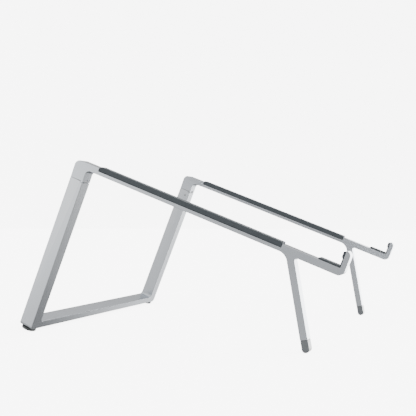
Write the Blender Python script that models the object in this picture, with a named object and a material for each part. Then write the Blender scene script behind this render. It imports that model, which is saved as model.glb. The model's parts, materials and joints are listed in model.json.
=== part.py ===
"""Folding laptop stand.

A U-shaped rear leg frame carries two side arms. Each arm is one forged piece: a rear knuckle that stands on
the frame's post, a thin rail with a silicone pad, a front hook and a small front leg. A hidden hinge at the
top of each post lets the arm fold down in front of the frame.

The pieces are drawn in the stand's own tilted frame, whose origin is the hinge axis: X across the stand,
Y along the rail towards the rear, Z square to the rail. One empty leans that frame to the working tilt and
stands it on the floor, and a second turns the rear frame's pieces a little further back about the hinge.
Lateral places are given as depths in from a side's outer face.
"""

from math import cos, pi, radians, sin, tan

import bmesh
import bpy
from mathutils import Vector

MM = 0.001

# Overall sizes
STAND_WIDTH = 240.0 * MM
ARM_LENGTH = 247.0 * MM  # rear face of the knuckle to the front of the hook
ARM_TILT = radians(21.0)  # rails above the floor plane
POST_SPLAY = radians(0.95)  # how far over a right angle the posts open from the rails
FRAME_HEIGHT = 139.4 * MM  # along the post, parting line to the underside of the bar

# Rear leg frame
POST_WIDTH = 12.0 * MM
POST_DEPTH = 13.0 * MM
BAR_THICKNESS = 6.3 * MM
FRAME_OUTER_RADIUS = 3.0 * MM
FRAME_INNER_RADIUS = 3.5 * MM
FRAME_EDGE = 0.45 * MM
POST_SPARE = 1.0 * MM  # the posts are drawn this much too tall, then trimmed square to the rails

# Side arm
ARM_WIDTH = 9.5 * MM
KNUCKLE_DROP = 10.5 * MM  # parting line to the underside of the rail
RAIL_HEIGHT = 5.9 * MM
RAIL_SEAT_HEIGHT = 3.0 * MM  # underside of the rail to the floor of the pad's recess
RECESS_REAR_INSET = 24.2 * MM  # rear face of the knuckle to the recess
RECESS_FRONT_INSET = 51.0 * MM  # front of the hook to the recess
HOOK_THICKNESS = 4.0 * MM
HOOK_HEIGHT = 19.4 * MM
HOOK_TOP_RADIUS = 3.6 * MM
HOOK_LIP_RADIUS = 0.35 * MM
HOOK_HEEL_RADIUS = 5.0 * MM
KNUCKLE_TOP_RADIUS = 5.0 * MM
KNUCKLE_FILLET = 4.0 * MM
RECESS_RADIUS = 0.4 * MM
ARM_EDGE = 0.45 * MM

# Front leg
LEG_INSET = 42.9 * MM  # front of the hook to the leg's centre line, at the underside of the rail
LEG_THICKNESS = 5.9 * MM
LEG_ANGLE = radians(59.0)  # between the leg and the rail's front end
LEG_REAR_FILLET = 9.0 * MM
LEG_FRONT_FILLET = 2.0 * MM
CAP_LENGTH = 9.7 * MM
TENON_LENGTH = 5.5 * MM
TENON_THICKNESS = 2.9 * MM
TENON_WIDTH = 5.6 * MM
TENON_OVERLAP = 2.0 * MM

# Silicone pads
PAD_PROUD = 1.5 * MM  # both pads stand this far above the top of the arm
PAD_SIDE_INSET = 0.4 * MM
PAD_END_RADIUS = 1.0 * MM
PAD_EDGE = 0.3 * MM
PAD_PEG_RADIUS = 1.5 * MM
PAD_PEG_DEPTH = 1.6 * MM
PAD_PEG_COUNT = 3
LINING_REACH = 18.0 * MM  # inside of the hook to the rear end of the lining
LINING_THIN = 1.0 * MM
LINING_THICK = 2.0 * MM
LINING_STEP = 6.6 * MM  # top of the lining's floor to the thicker lip
LINING_TOP_GAP = 1.0 * MM
LINING_TOP_RADIUS = 0.8 * MM

# Rear foot
FOOT_RADIUS = 6.4 * MM
FOOT_HEIGHT = 2.31 * MM
FOOT_EDGE_RADIUS = 0.6 * MM
FOOT_SIDE_INSET = 6.9 * MM
FOOT_STEM_RADIUS = 2.2 * MM
FOOT_STEM_HEIGHT = 3.6 * MM

# Hinge
LUG_RADIUS = 1.1 * MM
LUG_INSET = 0.1 * MM  # the lugs lie this far inside the post's front, outer and inner faces
OUTER_LUG_END = 3.8 * MM  # outer face to the inner end of the outer lug
HINGE_SKIN = 2.0 * MM  # outer face to the dowels and to the blind end of the pin's bore
PIN_RADIUS = 0.55 * MM
PIN_END_INSET = 0.4 * MM
WASHER_THICKNESS = 0.4 * MM
WASHER_GAP = 0.1 * MM
TONGUE_WIDTH = 3.2 * MM
TONGUE_DEPTH = 6.4 * MM
TONGUE_LENGTH = 17.0 * MM
EYE_INSET = 0.1 * MM  # the eye is ground this much thinner on each side than the blade
ROUND_SEGMENTS = 32  # round the pin, the lugs, the eye and their bores
DOWEL_RADIUS = 1.0 * MM
DOWEL_END_INSET = 0.5 * MM
DOWEL_DROPS = {"upper": 5.5 * MM, "lower": 12.5 * MM}  # below the parting line

# Fits
GAP = 0.25 * MM  # between pieces that rest on or sit in each other
PARTING_GAP = 0.4 * MM
PIN_CLEARANCE = 0.08 * MM
LUG_CLEARANCE = 0.2 * MM
CUT_MARGIN = 2.0 * MM  # a cutter runs this far past the wall that it cuts

COVE_SHARE = 0.98  # of a pocket that its round corner takes
ARC_STEP = radians(15.0)

# Places in the tilted frame, all from the sizes above
POST_FRONT = -LUG_RADIUS - LUG_INSET
POST_REAR = POST_FRONT + POST_DEPTH
POST_TOP = -PARTING_GAP / 2
KNUCKLE_BASE = PARTING_GAP / 2
FRAME_BASE = -FRAME_HEIGHT
RAIL_BASE = KNUCKLE_DROP
RAIL_SEAT = RAIL_BASE + RAIL_SEAT_HEIGHT
RAIL_TOP = RAIL_BASE + RAIL_HEIGHT
PAD_TOP = RAIL_TOP + PAD_PROUD
HOOK_FRONT = POST_REAR - ARM_LENGTH
HOOK_REAR = HOOK_FRONT + HOOK_THICKNESS
HOOK_TOP = RAIL_BASE + HOOK_HEIGHT
RECESS_REAR = POST_REAR - RECESS_REAR_INSET
RECESS_FRONT = HOOK_FRONT + RECESS_FRONT_INSET
ARM_MIDDLE = ARM_WIDTH / 2
TONGUE_START = OUTER_LUG_END + WASHER_THICKNESS + 2 * WASHER_GAP
TONGUE_END = TONGUE_START + TONGUE_WIDTH
INNER_LUG_START = TONGUE_END + WASHER_THICKNESS + 2 * WASHER_GAP
INNER_LUG_END = POST_WIDTH - LUG_INSET
HINGE_REACH = LUG_RADIUS + LUG_CLEARANCE  # hinge axis to the walls of the pockets
FOOT_CENTRE_Y = (POST_FRONT + POST_REAR) / 2

SIDES = {"left": -1, "right": 1}


def floor_level():
    """Return how far the floor lies below the hinge axis: the low rim of a rear foot, once leaned."""
    lean = ARM_TILT + POST_SPLAY
    rim_y = FOOT_CENTRE_Y - (FOOT_RADIUS - FOOT_EDGE_RADIUS)
    rim_z = FRAME_BASE - GAP - FOOT_HEIGHT + FOOT_EDGE_RADIUS
    return rim_y * sin(lean) + rim_z * cos(lean) - FOOT_EDGE_RADIUS


LEG_TOP = Vector((HOOK_FRONT + LEG_INSET, RAIL_BASE))
LEG_DIRECTION = Vector((-cos(LEG_ANGLE), -sin(LEG_ANGLE)))
LEG_ACROSS = Vector((-sin(LEG_ANGLE), cos(LEG_ANGLE)))  # towards the leg's front face
LEG_TOP_LEVEL = LEG_TOP.x * sin(ARM_TILT) + LEG_TOP.y * cos(ARM_TILT)
LEG_REACH = (LEG_TOP_LEVEL - floor_level() - LEG_THICKNESS / 2) / sin(LEG_ANGLE + ARM_TILT)
LEG_END = LEG_REACH + LEG_THICKNESS / 2 - CAP_LENGTH  # along the leg, to the flat end under the cap


def clear_scene():
    """Remove what a new file starts with."""
    for obj in list(bpy.data.objects):
        bpy.data.objects.remove(obj, do_unlink=True)


def make_material(name, colour, roughness, metallic):
    """Return a Principled material with one colour."""
    material = bpy.data.materials.new(name)
    material.use_nodes = True
    shader = material.node_tree.nodes["Principled BSDF"]
    shader.inputs["Base Color"].default_value = (*colour, 1.0)
    shader.inputs["Roughness"].default_value = roughness
    shader.inputs["Metallic"].default_value = metallic
    return material


def rounded(corners):
    """Turn ((y, z), radius) corners into an outline whose corners are arcs."""
    points = []
    for index, (corner, radius) in enumerate(corners):
        here = Vector(corner)
        before = (Vector(corners[index - 1][0]) - here).normalized()
        after = (Vector(corners[(index + 1) % len(corners)][0]) - here).normalized()
        if not radius:
            points.append(here)
            continue
        half = before.angle(after) / 2
        centre = here + (before + after).normalized() * (radius / sin(half))
        start = here + before * (radius / tan(half)) - centre
        sweep = pi - 2 * half
        if before.x * after.y - before.y * after.x > 0:
            sweep = -sweep
        steps = max(2, round(abs(sweep) / ARC_STEP))
        for step in range(steps + 1):
            angle = sweep * step / steps
            turned = Vector((
                start.x * cos(angle) - start.y * sin(angle),
                start.x * sin(angle) + start.y * cos(angle),
            ))
            points.append(centre + turned)
    return points


def link_mesh(name, bm, parent, material=None):
    """Make an object from a bmesh, in the parent's frame."""
    bmesh.ops.recalc_face_normals(bm, faces=bm.faces)
    mesh = bpy.data.meshes.new(name)
    bm.to_mesh(mesh)
    bm.free()
    obj = bpy.data.objects.new(name, mesh)
    obj.parent = parent
    bpy.context.scene.collection.objects.link(obj)
    if material:
        mesh.materials.append(material)
    return obj


def extrude_outline(outline, place, travel):
    """Return a bmesh of the outline's face, placed by place(a, b), and drawn out along travel."""
    bm = bmesh.new()
    face = bm.faces.new([bm.verts.new(place(*point)) for point in outline])
    drawn = bmesh.ops.extrude_face_region(bm, geom=[face])
    new_verts = [item for item in drawn["geom"] if isinstance(item, bmesh.types.BMVert)]
    bmesh.ops.translate(bm, verts=new_verts, vec=travel)
    return bm


def across(side, depth):
    """Return the X of a depth in from the outer face of a side."""
    return SIDES[side] * (STAND_WIDTH / 2 - depth)


def side_plate(name, outline, side, start, end, parent, material=None):
    """Make a plate from a (y, z) outline, between two depths in from a side's outer face."""
    x_start = across(side, start)
    x_end = across(side, end)
    bm = extrude_outline(outline, lambda y, z: (x_start, y, z), (x_end - x_start, 0, 0))
    return link_mesh(name, bm, parent, material)


def box_outline(y_low, y_high, z_low, z_high):
    """Return a rectangle as a (y, z) outline."""
    return [(y_low, z_low), (y_high, z_low), (y_high, z_high), (y_low, z_high)]


def circle_outline(y, z, radius, segments):
    """Return a circle as a (y, z) outline."""
    angles = (2 * pi * (index + 0.5) / segments for index in range(segments))
    return [(y + radius * cos(angle), z + radius * sin(angle)) for angle in angles]


def turned(name, profile, segments, parent, material=None):
    """Spin an (r, z) profile, bottom to top, about Z through the parent's origin."""
    bm = bmesh.new()
    verts = [bm.verts.new((radius, 0, z)) for radius, z in profile]
    edges = [bm.edges.new(pair) for pair in zip(verts, verts[1:])]
    bmesh.ops.spin(
        bm, geom=verts + edges, cent=(0, 0, 0), axis=(0, 0, 1), angle=2 * pi, steps=segments,
        use_duplicate=False,
    )
    bmesh.ops.remove_doubles(bm, verts=bm.verts, dist=1e-6)
    return link_mesh(name, bm, parent, material)


def add_bevel(obj, width, segments=2):
    """Round the sharp edges of a piece."""
    bevel = obj.modifiers.new("edges", "BEVEL")
    bevel.width = width
    bevel.segments = segments
    bevel.limit_method = "ANGLE"
    bevel.angle_limit = radians(40)
    bevel.use_clamp_overlap = True


def add_boolean(obj, other, operation="DIFFERENCE"):
    """Cut or join another mesh, which becomes a hidden helper."""
    other.hide_render = True
    other.display_type = "WIRE"
    boolean = obj.modifiers.new(other.name, "BOOLEAN")
    boolean.object = other
    boolean.operation = operation
    boolean.solver = "EXACT"


def shade(obj):
    """Shade the round faces smooth and keep the edges crisp."""
    obj.data.shade_smooth()
    obj.data.set_sharp_from_angle(angle=radians(30))


def frame_outline():
    """Return the U of the rear frame as an (x, z) outline, before its posts are trimmed."""
    outer = STAND_WIDTH / 2
    inner = outer - POST_WIDTH
    bar_top = FRAME_BASE + BAR_THICKNESS
    top = POST_TOP + POST_SPARE
    return rounded([
        ((-outer, top), 0),
        ((-outer, FRAME_BASE), FRAME_OUTER_RADIUS),
        ((outer, FRAME_BASE), FRAME_OUTER_RADIUS),
        ((outer, top), 0),
        ((inner, top), 0),
        ((inner, bar_top), FRAME_INNER_RADIUS),
        ((-inner, bar_top), FRAME_INNER_RADIUS),
        ((-inner, top), 0),
    ])


def tongue_front():
    """Return the Y of the front edge of the tongue's blade, behind the post's front wall."""
    return POST_FRONT + LUG_RADIUS - GAP


def tongue_middle():
    """Return the Y of the middle of the tongue's blade."""
    return tongue_front() + TONGUE_DEPTH / 2


def hinge_cutter(name, outline, side, start, end, parent):
    """Make a plate that cuts the hinge's pocket, slot or hole."""
    return side_plate(f"cut_{side}_{name}", outline, side, start, end, parent)


def cut_post(frame, side, parent, trim_parent):
    """Trim one post at the parting line, and cut its lug pocket, tongue slot, dowel holes and foot hole."""
    spare = box_outline(POST_FRONT - CUT_MARGIN, POST_REAR + CUT_MARGIN, POST_TOP, CUT_MARGIN)
    end = POST_WIDTH + CUT_MARGIN
    add_boolean(frame, hinge_cutter("post_spare", spare, side, -CUT_MARGIN, end, trim_parent))

    pocket = rounded([
        ((POST_FRONT - CUT_MARGIN, CUT_MARGIN), 0),
        ((POST_FRONT - CUT_MARGIN, -HINGE_REACH), 0),
        ((HINGE_REACH, -HINGE_REACH), HINGE_REACH * COVE_SHARE),
        ((HINGE_REACH, CUT_MARGIN), 0),
    ])
    add_boolean(frame, hinge_cutter("post_pocket", pocket, side, -CUT_MARGIN, end, parent))

    slot = box_outline(
        tongue_front() - GAP, tongue_front() + TONGUE_DEPTH + GAP, -TONGUE_LENGTH - GAP, CUT_MARGIN
    )
    add_boolean(frame, hinge_cutter("post_slot", slot, side, TONGUE_START - GAP, TONGUE_END + GAP, parent))

    for level, drop in DOWEL_DROPS.items():
        hole = circle_outline(tongue_middle(), -drop, DOWEL_RADIUS + PIN_CLEARANCE, 16)
        start = HINGE_SKIN - GAP
        add_boolean(frame, hinge_cutter(f"post_{level}_dowel", hole, side, start, end, parent))

    stem_radius = FOOT_STEM_RADIUS + GAP / 2
    stem_top = FOOT_STEM_HEIGHT + GAP
    profile = [(0, -CUT_MARGIN), (stem_radius, -CUT_MARGIN), (stem_radius, stem_top), (0, stem_top)]
    hole = turned(f"cut_{side}_foot_hole", profile, 20, parent)
    hole.location = (across(side, FOOT_SIDE_INSET), FOOT_CENTRE_Y, FRAME_BASE)
    add_boolean(frame, hole)


def build_rear_frame(parent, trim_parent, materials):
    """Make the U-shaped rear leg frame."""
    bm = extrude_outline(frame_outline(), lambda x, z: (x, POST_FRONT, z), (0, POST_DEPTH, 0))
    frame = link_mesh("rear_leg_frame", bm, parent, materials["aluminium"])
    add_bevel(frame, FRAME_EDGE)
    for side in SIDES:
        cut_post(frame, side, parent, trim_parent)
    shade(frame)


def build_rear_foot(side, parent, materials):
    """Make one rubber foot: a low button with a stem that is pressed up into the frame."""
    base = -GAP - FOOT_HEIGHT
    angles = [pi / 2 * step / 6 for step in range(7)]
    rim = [
        (
            FOOT_RADIUS - FOOT_EDGE_RADIUS + FOOT_EDGE_RADIUS * sin(angle),
            base + FOOT_EDGE_RADIUS * (1 - cos(angle)),
        )
        for angle in angles
    ]
    profile = [
        (0, base),
        *rim,
        (FOOT_RADIUS, -GAP),
        (FOOT_STEM_RADIUS, -GAP),
        (FOOT_STEM_RADIUS, FOOT_STEM_HEIGHT),
        (0, FOOT_STEM_HEIGHT),
    ]
    foot = turned(f"{side}_rear_foot", profile, 48, parent, materials["foot_rubber"])
    foot.location = (across(side, FOOT_SIDE_INSET), FOOT_CENTRE_Y, FRAME_BASE)
    shade(foot)


def build_tongue(side, parent, materials):
    """Make one steel tongue: an eye for the hinge pin on a blade that goes down into the post."""
    front = tongue_front()
    blade = box_outline(front, front + TONGUE_DEPTH, -TONGUE_LENGTH, POST_TOP - GAP)
    eye = circle_outline(0, 0, LUG_RADIUS, ROUND_SEGMENTS)
    tongue = side_plate(
        f"{side}_hinge_tongue", blade, side, TONGUE_START, TONGUE_END, parent, materials["steel"]
    )
    add_boolean(
        tongue,
        hinge_cutter("tongue_join_eye", eye, side, TONGUE_START + EYE_INSET, TONGUE_END - EYE_INSET, parent),
        "UNION",
    )
    holes = {"eye": (0, 0, PIN_RADIUS + PIN_CLEARANCE)}
    for level, drop in DOWEL_DROPS.items():
        holes[level] = (tongue_middle(), -drop, DOWEL_RADIUS + PIN_CLEARANCE)
    for label, (y, z, radius) in holes.items():
        hole = circle_outline(y, z, radius, ROUND_SEGMENTS)
        start = TONGUE_START - CUT_MARGIN
        end = TONGUE_END + CUT_MARGIN
        add_boolean(tongue, hinge_cutter(f"tongue_{label}", hole, side, start, end, parent))
    shade(tongue)


def build_dowels(side, parent, materials):
    """Make the two cross dowels that hold one tongue in its post."""
    for level, drop in DOWEL_DROPS.items():
        outline = circle_outline(tongue_middle(), -drop, DOWEL_RADIUS, 16)
        end = POST_WIDTH - DOWEL_END_INSET
        dowel = side_plate(
            f"{side}_tongue_dowel_{level}", outline, side, HINGE_SKIN, end, parent, materials["steel"]
        )
        shade(dowel)


def build_pin_and_washers(side, parent, materials):
    """Make the hinge pin and the two friction washers beside the tongue's eye."""
    outline = circle_outline(0, 0, PIN_RADIUS, ROUND_SEGMENTS)
    start = HINGE_SKIN + PIN_END_INSET
    pin = side_plate(
        f"{side}_hinge_pin", outline, side, start, POST_WIDTH - PIN_END_INSET * 2, parent, materials["steel"]
    )
    shade(pin)
    starts = {
        "outer": OUTER_LUG_END + WASHER_GAP,
        "inner": TONGUE_END + WASHER_GAP,
    }
    for place, depth in starts.items():
        outline = circle_outline(0, 0, LUG_RADIUS - WASHER_GAP, ROUND_SEGMENTS)
        washer = side_plate(
            f"{side}_hinge_washer_{place}", outline, side, depth, depth + WASHER_THICKNESS, parent,
            materials["acetal"],
        )
        bore = circle_outline(0, 0, PIN_RADIUS + PIN_CLEARANCE, ROUND_SEGMENTS)
        end = depth + WASHER_THICKNESS + CUT_MARGIN
        add_boolean(washer, hinge_cutter(f"washer_{place}", bore, side, depth - CUT_MARGIN, end, parent))
        shade(washer)


def knuckle_outline():
    """Return the wider rear block of the arm, down to the rail's section where the recess starts."""
    return rounded([
        ((POST_REAR, KNUCKLE_BASE), 0),
        ((POST_REAR, RAIL_TOP), KNUCKLE_TOP_RADIUS),
        ((RECESS_REAR, RAIL_TOP), 0),
        ((RECESS_REAR, RAIL_SEAT), 0),
        ((RECESS_REAR, RAIL_BASE), 0),
        ((POST_FRONT, RAIL_BASE), KNUCKLE_FILLET),
        ((POST_FRONT, KNUCKLE_BASE), 0),
    ])


def leg_point(along, sideways):
    """Return the (y, z) of a point a distance down the leg and to the front of its centre line."""
    return LEG_TOP + LEG_DIRECTION * along + LEG_ACROSS * sideways


def leg_root(sideways):
    """Return where a line beside the leg's centre line meets the underside of the rail."""
    return leg_point(sideways * cos(LEG_ANGLE) / sin(LEG_ANGLE), sideways)


def rail_outline():
    """Return the rail with its recess, the hook and the front leg, from the recess's rear end forwards."""
    half_leg = LEG_THICKNESS / 2
    return rounded([
        ((RECESS_REAR, RAIL_BASE), 0),
        ((RECESS_REAR, RAIL_SEAT), 0),
        ((RECESS_FRONT, RAIL_SEAT), RECESS_RADIUS),
        ((RECESS_FRONT, RAIL_TOP), RECESS_RADIUS),
        ((HOOK_REAR, RAIL_TOP), RECESS_RADIUS),
        ((HOOK_REAR, HOOK_TOP), HOOK_LIP_RADIUS),
        ((HOOK_FRONT, HOOK_TOP), HOOK_TOP_RADIUS),
        ((HOOK_FRONT, RAIL_BASE), HOOK_HEEL_RADIUS),
        (leg_root(half_leg), LEG_FRONT_FILLET),
        (leg_point(LEG_END, half_leg), 0),
        (leg_point(LEG_END, -half_leg), 0),
        (leg_root(-half_leg), LEG_REAR_FILLET),
    ])


def arm_body(side, parent, material):
    """Make the forging: rail, hook and leg at the arm's width, the knuckle at the post's width."""
    bm = bmesh.new()
    known = {}

    def corner(point):
        key = tuple(round(value, 7) for value in point)
        if key not in known:
            known[key] = bm.verts.new((across(side, 0), *point))
        return known[key]

    knuckle_verts = [corner(point) for point in knuckle_outline()]
    rail_verts = [corner(point) for point in rail_outline()]
    knuckle = bm.faces.new(knuckle_verts)
    rail = bm.faces.new(rail_verts)
    inwards = -SIDES[side]
    drawn = bmesh.ops.extrude_face_region(bm, geom=[knuckle, rail])["geom"]
    new_verts = [item for item in drawn if isinstance(item, bmesh.types.BMVert)]
    bmesh.ops.translate(bm, verts=new_verts, vec=(inwards * ARM_WIDTH, 0, 0))

    new_faces = [item for item in drawn if isinstance(item, bmesh.types.BMFace)]
    inner_knuckle = max(new_faces, key=lambda face: face.calc_center_median().y)
    drawn = bmesh.ops.extrude_face_region(bm, geom=[inner_knuckle])["geom"]
    bmesh.ops.delete(bm, geom=[inner_knuckle], context="FACES_ONLY")
    new_verts = [item for item in drawn if isinstance(item, bmesh.types.BMVert)]
    bmesh.ops.translate(bm, verts=new_verts, vec=(inwards * (POST_WIDTH - ARM_WIDTH), 0, 0))
    ramp_end = POST_FRONT - KNUCKLE_FILLET - GAP
    for vert in new_verts:
        if vert.co.y < RECESS_REAR + GAP:
            vert.co.y = ramp_end
    return link_mesh(f"{side}_side_arm", bm, parent, material)


def build_side_arm(side, parent, materials):
    """Make one side arm with its hinge lugs, the tenon for the leg's cap and the holes for the pad's pegs."""
    arm = arm_body(side, parent, materials["aluminium"])
    add_bevel(arm, ARM_EDGE)

    lug = circle_outline(0, 0, LUG_RADIUS, ROUND_SEGMENTS)
    lugs = {"outer": (LUG_INSET, OUTER_LUG_END), "inner": (INNER_LUG_START, INNER_LUG_END)}
    for place, (start, end) in lugs.items():
        add_boolean(arm, hinge_cutter(f"arm_join_{place}_lug", lug, side, start, end, parent), "UNION")

    half_tenon = TENON_THICKNESS / 2
    tenon = [
        leg_point(LEG_END - TENON_OVERLAP, -half_tenon),
        leg_point(LEG_END - TENON_OVERLAP, half_tenon),
        leg_point(LEG_END + TENON_LENGTH, half_tenon),
        leg_point(LEG_END + TENON_LENGTH, -half_tenon),
    ]
    half_width = TENON_WIDTH / 2
    add_boolean(
        arm,
        hinge_cutter("arm_join_tenon", tenon, side, ARM_MIDDLE - half_width, ARM_MIDDLE + half_width, parent),
        "UNION",
    )

    pocket = rounded([
        ((POST_FRONT - CUT_MARGIN, -CUT_MARGIN), 0),
        ((HINGE_REACH, -CUT_MARGIN), 0),
        ((HINGE_REACH, HINGE_REACH), HINGE_REACH * COVE_SHARE),
        ((POST_FRONT - CUT_MARGIN, HINGE_REACH), 0),
    ])
    add_boolean(arm, hinge_cutter("arm_pocket", pocket, side, OUTER_LUG_END, INNER_LUG_START, parent))

    bore = circle_outline(0, 0, PIN_RADIUS + PIN_CLEARANCE, ROUND_SEGMENTS)
    start = HINGE_SKIN + PIN_END_INSET - WASHER_GAP
    add_boolean(arm, hinge_cutter("arm_bore", bore, side, start, POST_WIDTH + CUT_MARGIN, parent))

    for index, y in enumerate(peg_places()):
        name = f"cut_{side}_peg_hole_{index}"
        depth = PAD_PEG_DEPTH + GAP
        add_boolean(arm, peg(name, side, y, PAD_PEG_RADIUS + GAP / 2, -depth, CUT_MARGIN, parent))
    shade(arm)


def peg_places():
    """Return the Y of each peg under a rail pad, evenly spread along the recess."""
    span = RECESS_REAR - RECESS_FRONT
    return [RECESS_FRONT + span * (index + 0.5) / PAD_PEG_COUNT for index in range(PAD_PEG_COUNT)]


def peg(name, side, y, radius, low, high, parent):
    """Make a short round peg on the rail's seat."""
    obj = turned(name, [(0, low), (radius, low), (radius, high), (0, high)], 16, parent)
    obj.location = (across(side, ARM_MIDDLE), y, RAIL_SEAT)
    return obj


def build_rail_pad(side, parent, materials):
    """Make the silicone strip in the rail's recess, with its pegs."""
    base = RAIL_SEAT + GAP
    outline = rounded([
        ((RECESS_REAR - GAP, base), 0),
        ((RECESS_REAR - GAP, PAD_TOP), PAD_END_RADIUS),
        ((RECESS_FRONT + GAP, PAD_TOP), PAD_END_RADIUS),
        ((RECESS_FRONT + GAP, base), 0),
    ])
    end = ARM_WIDTH - PAD_SIDE_INSET
    pad = side_plate(f"{side}_rail_pad", outline, side, PAD_SIDE_INSET, end, parent, materials["silicone"])
    add_bevel(pad, PAD_EDGE)
    for index, y in enumerate(peg_places()):
        name = f"cut_{side}_pad_join_peg_{index}"
        height = 2 * GAP + PAD_EDGE
        add_boolean(pad, peg(name, side, y, PAD_PEG_RADIUS, -PAD_PEG_DEPTH, height, parent), "UNION")
    shade(pad)


def build_hook_pad(side, parent, materials):
    """Make the silicone lining on the arm behind the hook and up the hook's inner face."""
    back = HOOK_REAR + GAP
    base = RAIL_TOP + GAP
    top = HOOK_TOP - LINING_TOP_GAP
    thin = HOOK_REAR + LINING_THIN
    thick = HOOK_REAR + LINING_THICK
    step_low = PAD_TOP + LINING_STEP - (LINING_THICK - LINING_THIN)
    outline = rounded([
        ((HOOK_REAR + LINING_REACH, base), 0),
        ((HOOK_REAR + LINING_REACH, PAD_TOP), PAD_END_RADIUS),
        ((thin, PAD_TOP), 0),
        ((thin, step_low), 0),
        ((thick, PAD_TOP + LINING_STEP), 0),
        ((thick, top), LINING_TOP_RADIUS),
        ((back, top), 0),
        ((back, base), 0),
    ])
    end = ARM_WIDTH - PAD_SIDE_INSET
    pad = side_plate(f"{side}_hook_pad", outline, side, PAD_SIDE_INSET, end, parent, materials["silicone"])
    shade(pad)


def build_leg_cap(side, parent, materials):
    """Make the silicone cap: a sleeve over the leg's tenon with a round tip."""
    half = LEG_THICKNESS / 2
    tip = [
        leg_point(LEG_REACH + half * sin(angle), half * cos(angle))
        for angle in (pi * step / 14 for step in range(15))
    ]
    outline = [leg_point(LEG_END + GAP, -half), leg_point(LEG_END + GAP, half), *tip]
    cap = side_plate(f"{side}_leg_cap", outline, side, 0, ARM_WIDTH, parent, materials["cap_silicone"])
    add_bevel(cap, ARM_EDGE)
    half_pocket = TENON_THICKNESS / 2 + GAP
    pocket = [
        leg_point(LEG_END - CUT_MARGIN, -half_pocket),
        leg_point(LEG_END - CUT_MARGIN, half_pocket),
        leg_point(LEG_END + TENON_LENGTH + GAP, half_pocket),
        leg_point(LEG_END + TENON_LENGTH + GAP, -half_pocket),
    ]
    half_width = TENON_WIDTH / 2 + GAP
    start = ARM_MIDDLE - half_width
    add_boolean(cap, hinge_cutter("cap_pocket", pocket, side, start, ARM_MIDDLE + half_width, parent))
    shade(cap)


def new_empty(name, parent=None):
    """Make an empty to place pieces by."""
    empty = bpy.data.objects.new(name, None)
    empty.parent = parent
    bpy.context.scene.collection.objects.link(empty)
    return empty


def centre_on_origin(stand):
    """Move the stand along Y so that its box is centred over the origin."""
    bpy.context.view_layer.update()
    graph = bpy.context.evaluated_depsgraph_get()
    reaches = []
    for obj in bpy.data.objects:
        if obj.type != "MESH" or obj.hide_render:
            continue
        evaluated = obj.evaluated_get(graph)
        mesh = evaluated.to_mesh()
        places = [(obj.matrix_world @ vert.co).y for vert in mesh.vertices]
        evaluated.to_mesh_clear()
        reaches += [min(places), max(places)]
    stand.location.y -= (min(reaches) + max(reaches)) / 2


def main():
    """Build the whole stand."""
    clear_scene()
    materials = {
        "aluminium": make_material("satin_anodised_aluminium", (0.66, 0.67, 0.69), 0.38, 1.0),
        "silicone": make_material("dark_grey_silicone", (0.085, 0.095, 0.105), 0.6, 0.0),
        "cap_silicone": make_material("mid_grey_silicone", (0.19, 0.20, 0.21), 0.55, 0.0),
        "foot_rubber": make_material("black_rubber", (0.018, 0.020, 0.022), 0.65, 0.0),
        "steel": make_material("ground_steel", (0.52, 0.53, 0.55), 0.3, 1.0),
        "acetal": make_material("grey_acetal", (0.38, 0.39, 0.40), 0.45, 0.0),
    }
    stand = new_empty("stand_lean")
    stand.rotation_euler = (ARM_TILT, 0, 0)
    stand.location = (0, 0, -floor_level())

    splay = new_empty("frame_splay", stand)
    splay.rotation_euler = (POST_SPLAY, 0, 0)

    build_rear_frame(splay, stand, materials)
    for side in SIDES:
        build_rear_foot(side, splay, materials)
        build_tongue(side, splay, materials)
        build_dowels(side, splay, materials)
        fold_axis = new_empty(f"{side}_fold_axis", stand)
        build_side_arm(side, fold_axis, materials)
        build_pin_and_washers(side, fold_axis, materials)
        build_rail_pad(side, fold_axis, materials)
        build_hook_pad(side, fold_axis, materials)
        build_leg_cap(side, fold_axis, materials)
    centre_on_origin(stand)


main()
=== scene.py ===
"""Looks of a folding laptop stand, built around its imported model.

The stand is a U-shaped rear leg frame with a side arm hinged to the top of each post. Every shown piece is
modelled in the stand's own leaning frame: X across the stand, Y along the rails towards the rear, Z square to
the rails, and the origin on the hinge axis. Depths across the stand are counted in from a side's outer face.
"""

import json
import logging
import math
from collections.abc import Callable, Iterator, Sequence
from contextlib import contextmanager
from dataclasses import dataclass
from enum import Enum
from typing import ClassVar

import bmesh
import bpy
from mathutils import Matrix, Vector


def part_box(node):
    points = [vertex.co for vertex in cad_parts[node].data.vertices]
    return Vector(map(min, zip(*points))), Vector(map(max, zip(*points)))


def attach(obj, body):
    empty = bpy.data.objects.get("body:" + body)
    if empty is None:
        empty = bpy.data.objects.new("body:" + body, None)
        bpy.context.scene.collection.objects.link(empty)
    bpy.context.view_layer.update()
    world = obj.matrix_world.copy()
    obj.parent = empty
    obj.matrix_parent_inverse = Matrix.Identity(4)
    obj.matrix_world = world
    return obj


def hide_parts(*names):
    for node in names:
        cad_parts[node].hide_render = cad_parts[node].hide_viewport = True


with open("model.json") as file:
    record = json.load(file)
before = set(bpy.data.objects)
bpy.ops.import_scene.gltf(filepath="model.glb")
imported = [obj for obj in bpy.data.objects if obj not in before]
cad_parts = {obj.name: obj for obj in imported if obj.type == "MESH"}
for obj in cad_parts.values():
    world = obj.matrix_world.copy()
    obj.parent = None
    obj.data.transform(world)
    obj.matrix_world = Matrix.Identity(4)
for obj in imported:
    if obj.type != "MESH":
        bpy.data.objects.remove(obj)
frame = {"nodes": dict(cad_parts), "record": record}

log = logging.getLogger("laptop_stand")

MM = 0.001
WELD = 0.001 * MM
SLACK = 0.01 * MM
NEAR = 0.05 * MM
# How far a face's or an edge's direction has to point along an axis, and how far it may when square to it.
FACING = 0.9
ALONG = 0.99
ASIDE = 0.1
# Faces that meet at less than this are one flat face, are shaded as one, or aren't softened where they meet.
FLAT_ANGLE = math.radians(0.5)
SMOOTH_ANGLE = math.radians(35)
SHARP_ANGLE = math.radians(40)
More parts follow.
